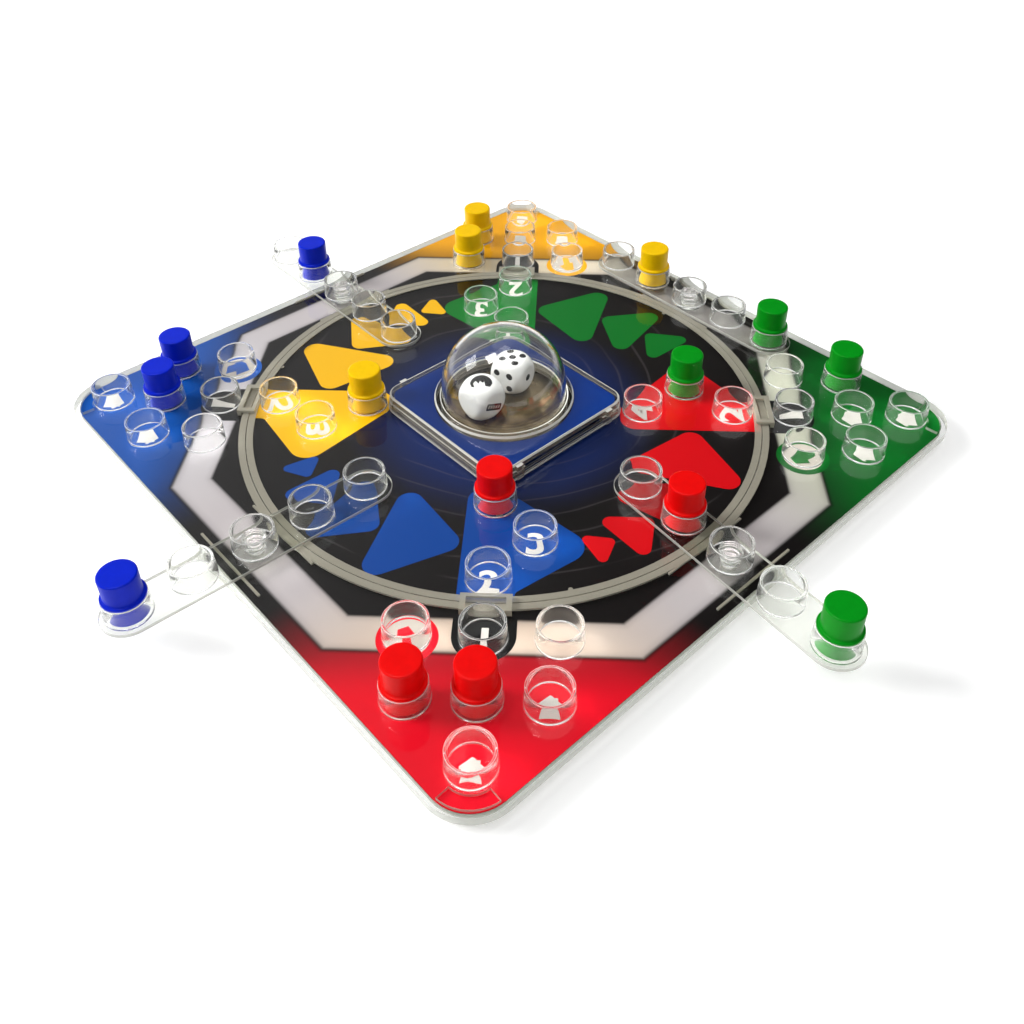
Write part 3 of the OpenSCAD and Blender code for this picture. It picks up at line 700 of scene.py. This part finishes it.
def cups(name, places, z, body, replaced):
    """Clear cups that stand at (x, y) places on a surface at height z."""
    mesh = bpy.data.meshes.new(name + "_places")
    mesh.from_pydata([(x * MM, y * MM, (z + 0.03) * MM) for x, y in places], [], [])
    holder = bpy.data.objects.new(name + "_places", mesh)
    scene.collection.objects.link(holder)
    modifier = holder.modifiers.new("cups", "NODES")
    modifier.node_group = CUP_TREE
    for item in CUP_TREE.interface.items_tree:
        if item.in_out == "INPUT" and item.name == "Plastic":
            modifier[item.identifier] = clear_cup
    bpy.context.view_layer.update()
    made = bpy.data.meshes.new_from_object(holder.evaluated_get(bpy.context.evaluated_depsgraph_get()))
    holder.modifiers.clear()
    bpy.data.objects.remove(holder)
    bm = bmesh.new()
    bm.from_mesh(made)
    outward(bm)
    if bm.faces and bm.calc_volume(signed=True) < 0:
        bmesh.ops.reverse_faces(bm, faces=bm.faces)
    bm.to_mesh(made)
    bm.free()
    made.name = name
    obj = ready(name, made, body, "clear_plastic", 40)
    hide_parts(replaced)
    return obj


for colour, angle in CORNERS.items():
    cups("cups_" + colour, [turned(angle, *p) for p in CORNER_CUPS], DECK_Z, "board", "deck_cups_" + colour)
cups("cups_turntable", [turned(a, *p) for a in CORNERS.values() for p in LANE_CUPS], DISC_Z,
     "turntable", "disc_cups")
for side in ARMS:
    cups("cups_arm_" + side, [arm_place(side, k) for k in range(-2, 3)], ARM_Z + ARM_T,
         side + "_arm", "arm_cups_" + side)


# ---------------------------------------------------------------- print
def disc_outline(r, n=40, start=0.0, sweep=TAU):
    return [(r * math.cos(start + sweep * k / n), r * math.sin(start + sweep * k / n)) for k in range(n)]


TRIANGLES = [((54.3, -31.0), (73.0, -16.4), (84.2, -38.2), 5.0),
             ((47.8, -48.2), (65.4, -44.2), (68.8, -61.6), 4.0),
             ((40.9, -61.8), (53.4, -61.7), (51.6, -73.8), 2.9),
             ((32.8, -70.4), (40.3, -71.2), (37.8, -78.7), 1.9)]


def offset_hull(centres, r, steps=8):
    """The outline round equal circles at the corners of a triangle."""
    c = [Vector(p) for p in centres]
    if (c[1] - c[0]).cross(c[2] - c[0]) < 0:
        c.reverse()
    out = []
    for i in range(3):
        before, here, after = c[i - 1], c[i], c[(i + 1) % 3]
        a0 = math.atan2(*reversed((here - before))) - math.pi / 2
        a1 = math.atan2(*reversed((after - here))) - math.pi / 2
        sweep = (a1 - a0) % TAU
        out += [(here.x + r * math.cos(a0 + sweep * k / steps), here.y + r * math.sin(a0 + sweep * k / steps))
                for k in range(steps + 1)]
    return out


LANE = rounded([(100.6, -10.2), (46.2, -10.2), (46.2, 2.2), (74.2, 36.2), (95.2, 8.8), (100.6, 8.8)],
               [0, 6.0, 4.0, 7.4, 3.0, 0], 10)


def digit(text, size):
    """A bold printed numeral's outlines, centred, read along +v."""
    curve = bpy.data.curves.new("digit", "FONT")
    curve.body, curve.size, curve.offset = text, size, size * 0.028
    curve.align_x = "CENTER"
    curve.resolution_u = 6
    obj = bpy.data.objects.new("digit", curve)
    scene.collection.objects.link(obj)
    bpy.context.view_layer.update()
    mesh = bpy.data.meshes.new_from_object(obj.evaluated_get(bpy.context.evaluated_depsgraph_get()))
    bpy.data.objects.remove(obj)
    bm = bmesh.new()
    bm.from_mesh(mesh)
    bmesh.ops.remove_doubles(bm, verts=bm.verts, dist=1e-5)
    xs, ys = [v.co.x for v in bm.verts], [v.co.y for v in bm.verts]
    shift = Vector((-(min(xs) + max(xs)) / 2, -(min(ys) + max(ys)) / 2, 0))
    bmesh.ops.translate(bm, vec=shift, verts=bm.verts)
    return bm


def stamp(bm, glyph, z, angle, d, l, wide=1.0, thick=0.04, material=0):
    """Adds a copy of a flat glyph as a thin slab; its top points to the middle."""
    copy = glyph.copy()
    tops = bmesh.ops.extrude_face_region(copy, geom=copy.faces[:])
    lowered = [v for v in tops["geom"] if isinstance(v, bmesh.types.BMVert)]
    bmesh.ops.translate(copy, vec=(0, 0, -thick), verts=lowered)
    bmesh.ops.recalc_face_normals(copy, faces=copy.faces)
    places = {}
    for v in copy.verts:
        x, y = turned(angle, d - v.co.y, l + v.co.x * wide)
        places[v.index] = bm.verts.new((x, y, z + v.co.z))
    copy.verts.index_update()
    for fce in copy.faces:
        face = bm.faces.new([places[v.index] for v in fce.verts])
        face.material_index = material
    copy.free()


GLYPHS = {t: digit(t, 12.5) for t in "1234"}
HOUSE = [(u * 0.76, v * 0.66) for u, v in (
    (4.3, -4.4), (4.3, 4.4), (-0.4, 4.4), (-0.4, 5.4), (-1.6, 5.4), (-2.9, 3.6), (-4.3, 3.6),
    (-4.3, 2.0), (-5.2, 0.9), (-5.6, 0.0), (-5.2, -0.6), (-1.6, -5.4), (-0.4, -5.4), (-0.4, -4.4))]
ARROW = [(-3.0, -3.4), (-4.6, -0.2), (-0.2, 3.4), (0.6, 1.2),
         (4.4, 2.6), (5.0, -0.4), (1.6, -1.6), (2.2, -3.0)]
PAD_R, PAD_FOOT, PAD_D = 10.3, -9.0, 114.2
RING_AT = 114.4, -23.9

for colour, angle in LANE_OF.items():
    bm = bmesh.new()
    z = DISC_SHEET_TOP + INK_T
    inlay(bm, LANE, z, angle)
    for *centres, r in TRIANGLES:
        inlay(bm, offset_hull(centres, r), z, angle)
    for text, (d, l) in zip("234", LANE_CUPS):
        stamp(bm, GLYPHS[text], z + INK_T, angle, d, l, 1.15, material=1)
    bmesh.ops.recalc_face_normals(bm, faces=bm.faces)
    piece("lane_print_" + colour, bm, "turntable", INKS[colour], WHITE, slot="printed_sheet", smooth=0)

for colour, angle in CORNERS.items():
    bm = bmesh.new()
    z = SHEET_TOP + INK_T
    pad = [(u - 1.6, v) for u, v in disc_outline(PAD_R, 24, -math.pi / 2, math.pi)]
    pad += [(-1.6, PAD_R), (PAD_FOOT, PAD_R), (PAD_FOOT, -PAD_R)]
    inlay(bm, pad, z, angle, PAD_D, 0, material=1)
    stamp(bm, GLYPHS["1"], z + INK_T, angle, PAD_D, 0.3, 1.2, material=2)
    inlay(bm, disc_outline(9.9), z, angle, *RING_AT, material=0)
    inlay(bm, disc_outline(7.4), z + INK_T, angle, *RING_AT, material=3)
    inlay(bm, ARROW, z + 2 * INK_T, angle, *RING_AT, material=0)
    for d, l in CORNER_CUPS[3:]:
        inlay(bm, HOUSE, z, angle, d + 0.8, l, material=2)
    bmesh.ops.recalc_face_normals(bm, faces=bm.faces)
    piece("corner_print_" + colour, bm, "board", CORNER_INKS[colour], BLACK, WHITE, PALE,
          slot="printed_sheet", smooth=0)


# ---------------------------------------------------------------- pegs
def in_corner(angle, k):
    return turned(angle, *CORNER_CUPS[k]), DECK_Z


def in_lane(angle, k):
    return turned(angle, *LANE_CUPS[k]), DISC_Z


def on_arm(side, k):
    return arm_place(side, k), ARM_Z + ARM_T


PEG_PLACES = {
    "peg_red_1": in_corner(-45, 3), "peg_red_2": in_corner(-45, 4),
    "peg_red_3": in_lane(-45, 2), "peg_red_4": on_arm("east", -1),
    "peg_green_1": in_corner(45, 5), "peg_green_2": in_lane(45, 1),
    "peg_green_3": on_arm("east", 2), "peg_green_4": on_arm("north", 2),
    "peg_yellow_1": in_corner(135, 5), "peg_yellow_2": in_corner(135, 2),
    "peg_yellow_3": in_lane(225, 2), "peg_yellow_4": on_arm("north", -1),
    "peg_blue_1": in_corner(225, 3), "peg_blue_2": in_corner(225, 4),
    "peg_blue_3": on_arm("south", 2), "peg_blue_4": on_arm("west", 1)}


def peg(name, place, z):
    """A hollow peg: a plug, a thin collar on the cup's mouth, and a knob with a soft top edge."""
    foot, top, soft, bend = CUP_H + 0.04, CUP_H + KNOB_H, 0.6, 0.75
    quarter = [math.pi / 2 * k / 30 for k in range(31)]
    profile = [(0, 14.4), (4.1, 14.4), (4.3, 14.1), (4.7, 0.5), (5.8, 0.42), (6.15, 0.55), (PLUG_R, 0.9)]
    profile += [(PLUG_R, foot), (COLLAR_R - 0.18, foot), (COLLAR_R, foot + 0.18),
                (COLLAR_R, foot + 0.8), (COLLAR_R - 0.15, foot + COLLAR_T)]
    # A small hollow curve leads from the collar to the knob
    profile += [(COLLAR_R - 0.3 - bend * math.sin(t), foot + COLLAR_T + bend * (1 - math.cos(t)))
                for t in quarter[::6]]
    profile += [(KNOB_R - soft + soft * math.sin(t), top - soft + soft * math.cos(t))
                for t in quarter[::-5]]
    profile += [(4.6, top - 0.02), (0, top - 0.05)]
    bm = bmesh.new()
    lathe(bm, [(r, h + z) for r, h in profile], 64, *place)
    outward(bm)
    colour = name.split("_")[1]
    obj = piece("dressed_" + name, bm, name, PEG[colour], slot=colour + "_plastic", smooth=35)
    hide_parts(name)


for name, (place, z) in PEG_PLACES.items():
    peg(name, place, z)


# ---------------------------------------------------------------- popper
def dome():
    """The clear half ball with its skirt and the flange that keeps it in the housing."""
    centre, steps = DOME_TOP - DOME_R, 40
    arc = [math.pi / 2 * k / steps for k in range(steps)]
    outer = [(DOME_R * math.cos(t), centre + DOME_R * math.sin(t)) for t in arc]
    inside = DOME_R - DOME_WALL
    inner = [(inside * math.cos(t), centre + inside * math.sin(t)) for t in reversed(arc)]
    over = DOME_FOOT + FLANGE_T
    profile = [(FLANGE_R, DOME_FOOT), (FLANGE_R, over), (DOME_R + 0.4, over), (DOME_R, over + 0.4)]
    profile += outer + [(0, DOME_TOP), (0, centre + inside)] + inner + [(inside, DOME_FOOT)]
    bm = bmesh.new()
    lathe(bm, profile, 128, closed=True)
    outward(bm)
    obj = piece("clear_dome", bm, "dome", clear_dome, slot="clear_plastic", smooth=40)
    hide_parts("press_dome")


dome()


DICE_FLOOR, DIE_HALF, DIE_BALL = 10.5, 7.25, 9.2
PIPS = {1: [(0, 0)], 2: [(-1, -1), (1, 1)], 3: [(-1, -1), (0, 0), (1, 1)],
        4: [(-1, -1), (-1, 1), (1, -1), (1, 1)],
        5: [(-1, -1), (-1, 1), (1, -1), (1, 1), (0, 0)],
        6: [(-1, -1), (-1, 0), (-1, 1), (1, -1), (1, 0), (1, 1)]}
FACES = {1: (1, 0, 0), 6: (-1, 0, 0), 5: (0, 0, 1), 2: (0, 0, -1), 4: (0, -1, 0), 3: (0, 1, 0)}


def die_body():
    """A cube whose corners run softly into a ball, centred on the origin."""
    bm, soft = bmesh.new(), 0.7
    bmesh.ops.create_cube(bm, size=2 * DIE_HALF)
    bmesh.ops.subdivide_edges(bm, edges=bm.edges, cuts=31, use_grid_fill=True)
    for v in bm.verts:
        over = v.co.length - (DIE_BALL - soft)
        if over > 0:
            v.co *= (DIE_BALL - soft * math.exp(-over / soft)) / v.co.length
    return bm


def pip_cutters():
    """The flat lenses that sink the pips, one cluster for each face."""
    bm, wide, deep = bmesh.new(), 1.46, 0.5
    step = 2.05 * wide    # the lenses stay clear of each other
    for count, axis in FACES.items():
        n = Vector(axis)
        u = Vector((0, 0, 1)) if n.z == 0 else Vector((1, 0, 0))
        w = n.cross(u)
        shape = n.to_track_quat("Z", "Y").to_matrix().to_4x4() @ Matrix.Diagonal((wide, wide, deep, 1))
        for a, b in PIPS[count]:
            centre = n * DIE_HALF + u * step * a + w * step * b
            bmesh.ops.create_uvsphere(bm, u_segments=28, v_segments=15, radius=1.0,
                                      matrix=Matrix.Translation(centre) @ shape)
    return bm


def object_from(bm, name, material):
    mesh = bpy.data.meshes.new(name)
    bm.to_mesh(mesh)
    bm.free()
    mesh.materials.append(material)
    obj = bpy.data.objects.new(name, mesh)
    scene.collection.objects.link(obj)
    return obj


def cut(bm, cutter_bm, material, inside):
    """Cuts one closed mesh out of another; the cut faces get the second finish."""
    body, cutter = object_from(bm, "body", material), object_from(cutter_bm, "cutter", inside)
    body.data.materials.append(inside)
    modifier = body.modifiers.new("cut", "BOOLEAN")
    modifier.operation, modifier.solver, modifier.object = "DIFFERENCE", "EXACT", cutter
    modifier.material_mode = "TRANSFER"
    bpy.context.view_layer.update()
    made = bpy.data.meshes.new_from_object(body.evaluated_get(bpy.context.evaluated_depsgraph_get()))
    for obj in (body, cutter):
        bpy.data.objects.remove(obj)
    out = bmesh.new()
    out.from_mesh(made)
    order = [m.name for m in made.materials]
    for face in out.faces:
        face.material_index = int(order[face.material_index] == inside.name)
    return out


def decal(bm, outline, centre, out, up, lift=0.03, material=1):
    """A thin printed shape on a die's face, seen with up at its top."""
    n, top = Vector(out), Vector(up)
    side = top.cross(n)
    front = [bm.verts.new(Vector(centre) + side * u + top * v + n * lift) for u, v in outline]
    back = [bm.verts.new(v.co - n * (lift + 0.12)) for v in front]
    faces = [bm.faces.new(front), bm.faces.new(list(reversed(back)))]
    for i in range(len(front)):
        j = (i + 1) % len(front)
        faces.append(bm.faces.new((front[j], front[i], back[i], back[j])))
    for face in faces:
        face.material_index = material


def signs(bm):
    """An arc arrow on the top of the die and a striped bar on its side."""
    arc = [(4.3 * math.cos(t), 4.1 * math.sin(t) - 1.3) for t in (math.pi * k / 18 for k in range(19))]
    arc += [(-3.6, -2.8), (-2.5, -2.9), (-3.1, -1.2), (-2.2, 0.1), (-1.0, -1.3), (-0.5, 0.1)]
    arc += [(0.6, -0.9), (1.2, -0.2), (1.6, -2.4), (3.4, -2.8)]
    arc = [(u, 1.35 * v + 0.4) for u, v in arc]
    flip = Vector((0.72, -0.69, 0))
    decal(bm, arc, (0, 0, DIE_HALF), (0, 0, 1), -flip)
    bar = rounded([(-4.0, -1.45), (4.0, -1.45), (4.0, 1.45), (-4.0, 1.45)], 0.5, 3)
    slant = Vector((0, 0.42, 0.91)).normalized()
    decal(bm, bar, (DIE_HALF, -0.4, -0.9), (1, 0, 0), slant)
    for k in range(5):
        x = -2.8 + 1.4 * k
        stripe = [(x - 0.3, -0.6), (x + 0.1, -0.6), (x + 0.3, 0.6), (x - 0.1, 0.6)]
        decal(bm, stripe, (DIE_HALF, -0.4, -0.9), (1, 0, 0), slant, 0.05, 2)


def place_die(bm, node, body, place, turn):
    bmesh.ops.transform(bm, verts=bm.verts, matrix=Matrix.Translation(
        (place[0], place[1], DICE_FLOOR + DIE_HALF)) @ Matrix.Rotation(math.radians(turn), 4, "Z"))
    obj = piece("dressed_" + node, bm, body, DIE, BLACK, WHITE, slot="dice_plastic", smooth=40)
    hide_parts(node)


place_die(cut(die_body(), pip_cutters(), DIE, BLACK), "pip_die", "first_die", (-6.1, 10.2), 15)
sign_die = die_body()
signs(sign_die)
place_die(sign_die, "symbol_die", "second_die", (-2.2, -9.6), 2)

# ---------------------------------------------------------------- trays, sheets and housing
for node, material in {"base_tray": TRAY, "turntable_base": TRAY, "popper_pan": TRAY,
                       "housing_screws": STEEL}.items():
    wearing(node, material)
for side in ARMS:
    wearing("arm_pivot_" + side, clear_cup)

remade("print_sheet", "board", BOARD_PRINT, slot="printed_sheet", sink=PRINT_GAP)
remade("disc_print", "turntable", DISC_PRINT, slot="printed_sheet", sink=PRINT_GAP)
remade("housing_insert", "turntable", CARD_PRINT, slot="printed_card", sink=PRINT_GAP)
remade("deck_cover", "board", deck_sheet)
remade("disc_cover", "turntable", disc_sheet)
remade("ring_clips", "board", clip_sheet)
remade("popper_housing", "turntable", housing_sheet, 0.12)
remade("click_plate", "plate", METAL, slot="plate_metal")
for side in ARMS:
    remade("arm_strip_" + side, side + "_arm", strip_sheet, 0.15)

# The click spring, remade with a mesh of its own
spring = remade("click_spring", "turntable", STEEL, slot="bright_steel")
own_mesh(spring)
